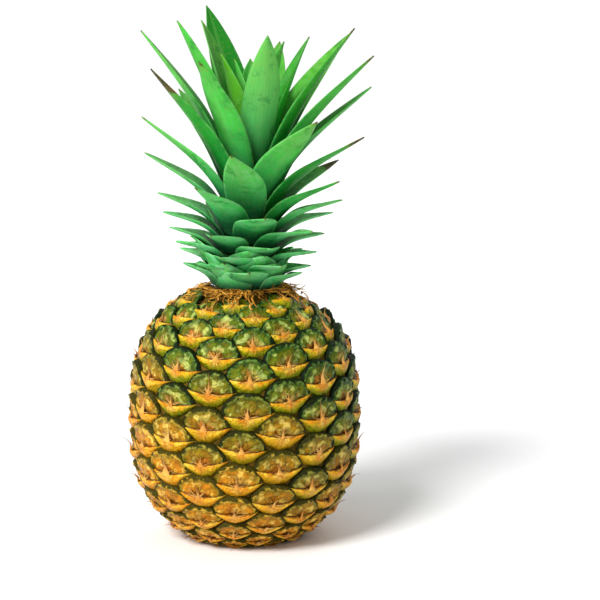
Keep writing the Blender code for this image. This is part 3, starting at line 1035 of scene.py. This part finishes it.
def node_of(tree, kind, settings=None, **inputs):
    """Adds a node, with its settings and its inputs."""
    node = tree.nodes.new("ShaderNode" + kind)
    for key, value in (settings or {}).items():
        setattr(node, key, value)
    for key, value in inputs.items():
        set_input(node.inputs[key.replace("_", " ")], value)
    return node


def mixed_number(share, low, high):
    """low where the share is 0, and high where it is 1."""
    return share * (high - low) + low


def fade(value, low, high):
    """0 at low and 1 at high, with a smooth step between them."""
    node = node_of(value.tree, "MapRange", {"interpolation_type": "SMOOTHSTEP"}, Value=value)
    ends = (low, high, 0.0, 1.0) if low < high else (high, low, 1.0, 0.0)
    for label, end in zip(("From Min", "From Max", "To Min", "To Max"), ends):
        node.inputs[label].default_value = end
    return Value(node.outputs["Result"])


def blend(factor, first, second):
    """The first colour where the factor is 0, and the second where it is 1."""
    node = factor.tree.nodes.new("ShaderNodeMix")
    node.data_type = "RGBA"
    for socket, value in ((node.inputs[0], factor), (node.inputs[6], first), (node.inputs[7], second)):
        set_input(socket, value)
    return Value(node.outputs[2])


def layered(colour, *layers):
    """The colour under a list of masks and the colours that they lay over it."""
    for mask, cover in layers:
        colour = blend(mask, colour, cover)
    return colour


def new_group(name, **inputs):
    """An empty node group that gives out one mask, with its inputs as values."""
    group = bpy.data.node_groups.new(name, "ShaderNodeTree")
    for label, usual in inputs.items():
        socket = group.interface.new_socket(label, in_out="INPUT", socket_type="NodeSocketFloat")
        socket.default_value = usual
    group.interface.new_socket("Mask", in_out="OUTPUT", socket_type="NodeSocketFloat")
    given = group.nodes.new("NodeGroupInput")
    values = [Value(given.outputs[label]) for label in inputs]
    return group, values, group.nodes.new("NodeGroupOutput").inputs["Mask"]


def mask_of(tree, group, **inputs):
    """The mask that a node group gives out."""
    node = tree.nodes.new("ShaderNodeGroup")
    node.node_tree = group
    for label, value in inputs.items():
        set_input(node.inputs[label], value)
    return Value(node.outputs[0])


def make_blotches():
    """Soft uneven patches, from 0 to 1."""
    group, values, mask = new_group("blotches", Size=0.004, Edge=0.15, Seed=0.0, Grain=3.0)
    size, edge, seed, grain = values
    noise = node_of(
        group,
        "TexNoise",
        {"noise_dimensions": "4D"},
        Vector=Value(node_of(group, "TexCoord").outputs["Object"]),
        Scale=1.0 / size,
        Detail=grain,
        Roughness=0.5,
        W=seed,
    )
    step = node_of(
        group,
        "MapRange",
        {"interpolation_type": "SMOOTHSTEP"},
        Value=Value(noise.outputs["Fac"]),
        From_Min=0.5 - edge,
        From_Max=edge + 0.5,
    )
    set_input(mask, Value(step.outputs["Result"]))
    return group


def make_streaks():
    """Fine lines that run along a piece, from its place across and along."""
    group, values, mask = new_group("streaks", Across=0.0, Along=0.0, Lines=20.0, Breaks=2.0, Seed=0.0)
    across, along, lines, breaks, seed = values
    place = Value(node_of(group, "CombineXYZ", X=across * lines, Y=along * breaks, Z=seed).outputs[0])
    noise = node_of(group, "TexNoise", Vector=place, Scale=1.0, Detail=2.0, Roughness=0.5)
    set_input(mask, fade(Value(noise.outputs["Fac"]), 0.3, 0.7))
    return group


def new_material(name, roughness, specular):
    """A material with its shader, and the tree that feeds it."""
    material = bpy.data.materials.new(name)
    material.use_nodes = True
    tree = material.node_tree
    shader = tree.nodes["Principled BSDF"]
    shader.inputs["Roughness"].default_value = roughness
    shader.inputs["Specular IOR Level"].default_value = specular
    return material, tree, shader


def stored(tree, name):
    """The three numbers stored for each point under this name."""
    vector = Value(node_of(tree, "Attribute", {"attribute_name": name}).outputs["Vector"])
    return [Value(output) for output in node_of(tree, "SeparateXYZ", Vector=vector).outputs]


def dress(tree, shader, colour, height, distance, strength):
    """Gives a shader its colour, and bumps of this height that are so many metres deep."""
    set_input(shader.inputs["Base Color"], colour)
    bump = node_of(tree, "Bump", Height=height, Distance=distance, Strength=strength)
    set_input(shader.inputs["Normal"], Value(bump.outputs["Normal"]))


SHIELD_SEED = 9.0  # how far apart the patches of one eye and of another are
SHIELD_BUMP = 0.0007
DOME_COLOURS = {  # where it is green, and where it is ripe
    "rim": ((0.002, 0.011, 0.001), (0.05, 0.04, 0.001)),
    "deep": ((0.007, 0.048, 0.001), (0.2, 0.125, 0.001)),
    "light": ((0.06, 0.18, 0.006), (0.62, 0.3, 0.006)),
    "warm": ((0.22, 0.17, 0.004), (0.66, 0.17, 0.006)),
    "pale": ((0.46, 0.52, 0.12), (0.94, 0.54, 0.09)),
    # a lighter band inside the rim: painted highlight along the raised rim
    "lip_highlight": ((0.16, 0.3, 0.05), (0.74, 0.44, 0.04)),
}
TAN = ((0.68, 0.22, 0.025), (0.8, 0.52, 0.11))  # round the beak's foot, from patch to patch
CRACK = (0.17, 0.045, 0.002)
# painted shadow under the bract's raised upper edge, over the brown of the crease where the dome meets it
DOME_FOOT_SHADOW = (0.07, 0.016, 0.001)
BRACT_COLOURS = {
    # darkest at the bract's foot: its own green, with painted shade where it dips into the groove
    "lowest": ((0.012, 0.028, 0.001), (0.12, 0.06, 0.001)),
    "lower": ((0.19, 0.24, 0.002), (0.66, 0.3, 0.003)),
    "yellow": ((0.7, 0.48, 0.006), (0.94, 0.41, 0.006)),
    "stain": ((0.16, 0.21, 0.003), (0.6, 0.19, 0.003)),
}
BRACT_UPPER = ((0.86, 0.3, 0.006), (0.95, 0.6, 0.05))
BRACT_WING = ((0.66, 0.25, 0.008), (0.4, 0.26, 0.006))
BRACT_PAPER = ((0.84, 0.3, 0.03), (0.9, 0.54, 0.1))
CREASE = (0.42, 0.12, 0.004)
BRACT_FLECK = (0.3, 0.12, 0.003)
# the bract's own dark green along its lower outline, with painted shade where it dips into the groove
BRACT_MARGIN_SHADE = (0.016, 0.026, 0.001)
SPECK = (0.05, 0.028, 0.001)


def ripened(ripe, colours):
    """The colours of a table, blended from green to ripe."""
    return {name: blend(ripe, *pair) for name, pair in colours.items()}


def shield_material(blotches, streaks):
    """Glossy green domes with a dark rim, over a yellow bract; orange and tan where ripe."""
    material, tree, shader = new_material("eye_shield", 0.35, 0.13)
    across, level, reach = stored(tree, "eye_place")
    rim_gap, low_gap, turn = stored(tree, "eye_marks")
    ripe, luck, more_luck = stored(tree, "eye_tone")
    seed = luck * SHIELD_SEED
    other_seed = more_luck * 7.0 + 20.0
    broad = mask_of(tree, blotches, Size=0.0046, Edge=0.1, Seed=seed, Grain=0.8)
    other = mask_of(tree, blotches, Size=0.0026, Edge=0.14, Seed=other_seed, Grain=1.0)
    fine = mask_of(tree, blotches, Size=0.0009, Edge=0.18, Seed=seed, Grain=1.0)
    mixing = mask_of(tree, blotches, Size=0.0036, Edge=0.14, Seed=other_seed, Grain=0.8)
    fibres = mask_of(tree, streaks, Across=turn, Along=reach, Lines=22.0, Breaks=3.0, Seed=seed)
    wobble = (other - 0.5) * 0.45
    away = abs(across)

    # Dome
    paint = ripened(ripe, DOME_COLOURS)
    gap = rim_gap + wobble
    inward = fade(gap, 0.7, 1.75)
    patches = fade(mixing, 0.4, 0.0) * fade(gap, 0.8, 1.5)
    # A thin band just inside the rim, painted lighter as a highlight along the raised rim.
    lip_highlight = fade(gap, 0.55, 0.8) * fade(gap, 1.15, 0.85)
    near = fade(reach + wobble * 0.5, 0.46, 0.14)
    cracks = fade(fibres, 0.6, 0.85) * fade(reach, 0.55, 0.25)
    dome = layered(
        paint["deep"],
        (inward * mixed_number(broad, 0.15, 1.0), paint["light"]),
        (mixing * inward * 0.55, paint["warm"]),
        (patches * mixed_number(broad, 0.35, 0.95), paint["pale"]),
        (lip_highlight * mixed_number(other, 0.05, 0.65), paint["lip_highlight"]),
        (near * mixed_number(more_luck, 0.35, 0.95), blend(broad, *TAN)),
        (cracks * 0.75, CRACK),
        (fade(gap, 0.82, 0.4), paint["rim"]),
        # Painted shadow along the dome's foot, under the bract's raised upper edge, over the crease's own
        # brown.
        (fade(level, 0.15, 0.03) * fade(away, 1.0, 0.6) * 0.8, DOME_FOOT_SHADOW),
    )

    # Bract
    paint = ripened(ripe, BRACT_COLOURS)
    rise = level + 1.0 + wobble * 0.5
    bract = layered(
        # The bract starts darkest at its foot: its own green, with painted shade where it dips into the
        # groove below.
        paint["lowest"],
        (fade(rise, 0.12, 0.46), paint["lower"]),
        (fade(rise, 0.42, 0.86), paint["yellow"]),
        (fade(rise, 0.66, 0.98) * 0.9, blend(broad, *BRACT_UPPER)),
        (fade(other, 0.35, 0.9) * fade(rise, 1.05, 0.55) * 0.55, paint["stain"]),
        (fade(away, 0.45, 0.9) * 0.75, blend(broad, *BRACT_WING)),
        (fade(reach, 0.32, 0.06) * 0.7, blend(broad, *BRACT_PAPER)),
        (fade(fibres, 0.62, 0.9) * fade(reach, 0.5, 0.15) * 0.6, CREASE),
        (fade(fine, 0.7, 1.0) * 0.22, BRACT_FLECK),
        # Painted shade along the bract's lower outline, where it dips into the groove, over its own dark
        # green.
        (fade(low_gap, 0.24, 0.04) * 0.8, BRACT_MARGIN_SHADE),
    )

    colour = blend(fade(level, 0.0, 0.03), bract, dome)
    colour = blend(fade(fine, 0.18, 0.0) * 0.35, colour, SPECK)
    dull_rim = mixed_number(fade(gap, 0.9, 0.4) * fade(level, 0.0, 0.1), 0.0, 0.3)
    set_input(shader.inputs["Roughness"], mixed_number(broad, 0.28, 0.45) + dull_rim)
    height = fine * 0.05 + cracks * -0.35 + other
    dress(tree, shader, colour, height, SHIELD_BUMP, 0.85)
    return material


BEAK_PAPER = ((0.72, 0.27, 0.03), (0.84, 0.5, 0.1))
BEAK_RUST = (0.5, 0.15, 0.012)
BEAK_MIDDLE = ((0.5, 0.19, 0.03), (0.74, 0.47, 0.15))
BEAK_TIP = ((0.1, 0.05, 0.022), (0.34, 0.2, 0.08))
BEAK_LINE = (0.42, 0.14, 0.02)
BEAK_FLECK = (0.82, 0.48, 0.13)


def beak_material(blotches, streaks):
    """Dry and papery: pinkish tan at the foot, browner towards the tip."""
    material, tree, shader = new_material("dry_beak", 0.8, 0.06)
    across, up, luck = stored(tree, "eye_place")
    more_luck, side_luck = stored(tree, "eye_tone")[1:]
    seed = luck * 5.0
    fine = mask_of(tree, blotches, Size=0.0012, Edge=0.2, Seed=seed)
    lines = mask_of(tree, streaks, Across=across, Along=up, Lines=5.0, Breaks=3.0, Seed=seed)
    colour = layered(
        blend(side_luck, *BEAK_PAPER),
        (fade(luck, 0.35, 0.8), BEAK_RUST),
        (fade(up, 0.1, 0.45), blend(more_luck, *BEAK_MIDDLE)),
        (fade(up, 0.55, 0.95), blend(more_luck, *BEAK_TIP)),
        (lines * 0.45, BEAK_LINE),
        (fine * 0.3, BEAK_FLECK),
    )
    dress(tree, shader, colour, lines, 0.0002, 0.6)
    return material


def fibre_material(blotches):
    """Straw gold to rusty brown."""
    material, tree, shader = new_material("dry_fibre", 0.8, 0.12)
    luck = stored(tree, "eye_place")[2]
    fine = mask_of(tree, blotches, Size=0.0015, Edge=0.2)
    golden = blend(luck, (0.4, 0.12, 0.006), (0.8, 0.42, 0.07))
    rusty = (fade(luck, 0.28, 0.08), (0.1, 0.04, 0.01))
    colour = layered(golden, rusty, (fine * 0.4, (0.62, 0.26, 0.02)))
    dress(tree, shader, colour, fine, 0.0002, 0.5)
    return material


def groove_material(blotches):
    """Dark olive to brown: the skin's own colours, painted darker as shade down in the grooves between the
    eyes.
    """
    material, tree, shader = new_material("groove_skin", 0.6, 0.15)
    broad = mask_of(tree, blotches, Size=0.006, Edge=0.2)
    fine = mask_of(tree, blotches, Size=0.0015, Edge=0.2, Seed=3.0)
    colour = blend(broad, (0.04, 0.042, 0.001), (0.16, 0.09, 0.002))
    colour = blend(fine * 0.5, colour, (0.16, 0.06, 0.004))
    dress(tree, shader, colour, fine, 0.0005, 0.6)
    return material


LOW_GREEN = ((0.036, 0.54, 0.13), (0.1, 0.78, 0.2))
HIGH_GREEN = ((0.012, 0.4, 0.022), (0.04, 0.64, 0.05))
LIT_GREEN = (0.15, 0.62, 0.16)
# the inner faces' own darker green, with painted shade inside the rosette
INNER_GREEN_AND_SHADE = ((0.004, 0.17, 0.006), (0.016, 0.34, 0.02))
LIT_INNER_GREEN = (0.05, 0.58, 0.07)
FRESH_GREEN = (0.17, 0.5, 0.02)
YELLOW_GREEN = (0.13, 0.5, 0.004)
# pale waxy bloom, partly painted sheen
BLOOM_AND_SHEEN = (0.26, 0.7, 0.36)
PATCH_GREEN = (0.02, 0.22, 0.05)
LINE_GREEN = (0.008, 0.16, 0.018)
# painted shade towards the leaves' feet: over their own bluish teal, then deep among the overlapping bases
FOOT_SHADE_GREEN = (0.01, 0.19, 0.08)
DEEP_FOOT_SHADE = (0.002, 0.04, 0.02)
SHADED_GREEN = (0.002, 0.19, 0.01)
# painted highlight down the leaf's keel
KEEL_HIGHLIGHT_GREEN = (0.16, 0.46, 0.1)
# the margins: a pale painted highlight, and in places their own brown
LEAF_EDGE_SHEEN_AND_MARGIN = ((0.2, 0.55, 0.16), (0.2, 0.16, 0.03))
LEAF_SPOT = (0.2, 0.26, 0.05)
DRYING = (0.2, 0.3, 0.03)
DRIED = ((0.024, 0.034, 0.006), (0.11, 0.085, 0.014))
LEAF_BUMP = 0.00012


def leaf_material(blotches, streaks):
    """Green with fine lines: bluish with a pale bloom low on the crown, partly painted sheen, and fresher
    towards its heart; with painted shade at the leaves' feet and on their inner faces, and painted highlights
    down their keels and along their margins.
    """
    material, tree, shader = new_material("crown_leaf", 0.5, 0.13)
    across, along, inner = stored(tree, "leaf_place")
    growth, luck = stored(tree, "leaf_tone")[:2]
    tone_light_and_shade, yellowness, dryness = stored(tree, "leaf_mood")
    seed = luck * 11.0
    broad = mask_of(tree, blotches, Size=0.01, Edge=0.16, Seed=seed)
    middling = mask_of(tree, blotches, Size=0.0035, Edge=0.14, Seed=seed)
    fine = mask_of(tree, blotches, Size=0.0012, Edge=0.2, Seed=seed)
    lines = mask_of(tree, streaks, Across=across, Along=along, Lines=22.0, Breaks=2.5, Seed=seed)
    away = abs(across)
    shaded = fade(tone_light_and_shade, 0.0, -1.0)

    fresh = fade(along, 0.3, 0.85) * mixed_number(luck, 0.2, 0.65) * mixed_number(middling, 0.5, 1.0)
    # The pale bloom is partly the leaf's own waxy bloom and partly painted sheen: strongest towards the
    # leaf's middle, weaker on shaded leaves.
    dust_and_sheen = (middling + fine * 0.4) * 0.5
    bloom_and_sheen = mixed_number(fade(growth, 0.8, 0.2), 0.15, 1.0) * dust_and_sheen
    bloom_and_sheen = bloom_and_sheen * mixed_number(fade(along, 0.15, 0.6), 0.5, 1.25) * mixed_number(shaded, 1.0, 0.2)
    # Painted highlight down the middle of the leaf, along its keel.
    keel_highlight = fade(away, 0.3, 0.0) * fade(along, 0.15, 0.6)
    # The margins: mostly a pale painted highlight, here and there their own brown.
    edge = fade(away, 0.88, 0.98) * (middling + 0.2)
    past = along + middling * 0.06 - (0.98 - dryness * 0.44)
    colour = layered(
        blend(broad, *LOW_GREEN),
        (fade(growth, 0.15, 0.75), blend(broad, *HIGH_GREEN)),
        # Whole leaves painted lighter where lit and darker where shaded, over their own tone.
        (tone_light_and_shade * 0.75, LIT_GREEN),
        # Inner faces: their own darker green, with painted shade inside the rosette.
        (inner, blend(tone_light_and_shade * 0.5, blend(broad, *INNER_GREEN_AND_SHADE), LIT_INNER_GREEN)),
        (fresh, FRESH_GREEN),
        (yellowness * 0.9, YELLOW_GREEN),
        (bloom_and_sheen, BLOOM_AND_SHEEN),
        (fade(broad, 0.35, 0.0) * fade(middling, 0.6, 0.1) * 0.5, PATCH_GREEN),
        (lines * 0.18, LINE_GREEN),
        # Painted shade towards each leaf's foot, among the overlapping leaves, over its own bluish teal.
        (fade(along, 0.62, 0.12) * 0.6, FOOT_SHADE_GREEN),
        (fade(along, 0.4, 0.06) * 0.8, DEEP_FOOT_SHADE),
        (shaded * 0.88, SHADED_GREEN),
        (keel_highlight * 0.3, KEEL_HIGHLIGHT_GREEN),
        (edge * 0.45, blend(fade(broad, 0.8, 1.0), *LEAF_EDGE_SHEEN_AND_MARGIN)),
        (fade(fine, 0.72, 1.0) * 0.28, LEAF_SPOT),
        (fade(past, 0.0, 0.05) * 0.35, DRYING),
        (fade(past, 0.04, 0.1), blend(middling, *DRIED)),
    )
    set_input(shader.inputs["Roughness"], mixed_number(middling, 0.42, 0.6))
    dress(tree, shader, colour, lines + middling, LEAF_BUMP, 0.45)
    return material


def wood_material(name, blotches, light, dark):
    """Dry pithy plant tissue, in the light and dark colours given; the crown's stem gets dark greens as
    painted shade.
    """
    material, tree, shader = new_material(name, 0.8, 0.25)
    broad = mask_of(tree, blotches, Size=0.004, Edge=0.2)
    fine = mask_of(tree, blotches, Size=0.0008, Edge=0.2, Seed=2.0)
    colour = blend(fine * 0.5, blend(broad, light, dark), dark)
    dress(tree, shader, colour, fine, 0.0006, 0.7)
    return material


def make_materials():
    blotches, streaks = make_blotches(), make_streaks()
    return {
        "shield": shield_material(blotches, streaks),
        "beak": beak_material(blotches, streaks),
        "groove": groove_material(blotches),
        "fibre": fibre_material(blotches),
        "leaf": leaf_material(blotches, streaks),
        "stalk": wood_material("cut_stalk", blotches, (0.55, 0.38, 0.18), (0.24, 0.13, 0.05)),
        # The crown's stem: painted dark green as the shade inside the crown, where it shows between the
        # leaves.
        "stem": wood_material("crown_stem", blotches, (0.03, 0.15, 0.035), (0.014, 0.07, 0.016)),
    }


# Stage and light

FLOOR_REACH = 40.0
LIGHT_AIM = 0.14  # the height that the lights point at


def add_stage():
    mesh = bpy.data.meshes.new("floor")
    corners = [(x * FLOOR_REACH, y * FLOOR_REACH, 0) for x, y in ((-1, -1), (1, -1), (1, 1), (-1, 1))]
    mesh.from_pydata(corners, [], [(0, 1, 2, 3)])
    floor = add_object("floor", mesh)
    material, tree, shader = new_material("pale_floor", 0.8, 0.0)
    noise = node_of(tree, "TexNoise", Scale=3.0, Detail=2.0)
    colour = blend(Value(noise.outputs["Fac"]), (0.93, 0.93, 0.93), (0.96, 0.96, 0.96))
    set_input(shader.inputs["Base Color"], colour)
    mesh.materials.append(material)


def add_light(name, kind, place, strength, **shape):
    data = bpy.data.lights.new(name, kind)
    data.energy = strength
    for key, value in shape.items():
        setattr(data, key, value)
    light = add_object(name, data)
    light.location = place
    aim = Vector((AXIS_X, AXIS_Y, LIGHT_AIM))
    light.rotation_euler = (aim - light.location).to_track_quat("-Z", "Y").to_euler()


def add_lights():
    """A soft sun, two broad lamps, and a sky that is seen brighter than it lights."""
    add_light("key_sun", "SUN", (-0.8, -1.2, 1.5), 3.0, angle=math.radians(20.0))
    add_light("side_light", "AREA", (-1.3, -0.5, 0.7), 6.0, shape="DISK", size=0.7)
    add_light("back_light", "AREA", (0.6, 1.4, 1.2), 8.0, shape="DISK", size=1.6)
    world = bpy.data.worlds.new("studio")
    bpy.context.scene.world = world
    world.use_nodes = True
    background = world.node_tree.nodes["Background"]
    background.inputs["Color"].default_value = (1.0, 1.0, 1.0, 1.0)
    seen = Value(node_of(world.node_tree, "LightPath").outputs["Is Camera Ray"])
    set_input(background.inputs["Strength"], mixed_number(seen, 0.45, 1.0))


bpy.context.scene.view_settings.view_transform = "Standard"
materials = make_materials()
eyes = [Eye(number) for number in range(LOWEST_EYE, HIGHEST_EYE + 1)]
add_groove_skin(materials["groove"])
add_shields(eyes, materials["shield"])
add_beaks(eyes, materials["beak"])
add_fibres(materials["fibre"])
add_leaves(materials["leaf"])
for node_name, material_name in (("cut_stalk", "stalk"), ("crown_stem", "stem")):
    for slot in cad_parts[node_name].material_slots:
        slot.material = materials[material_name]
add_stage()
add_lights()
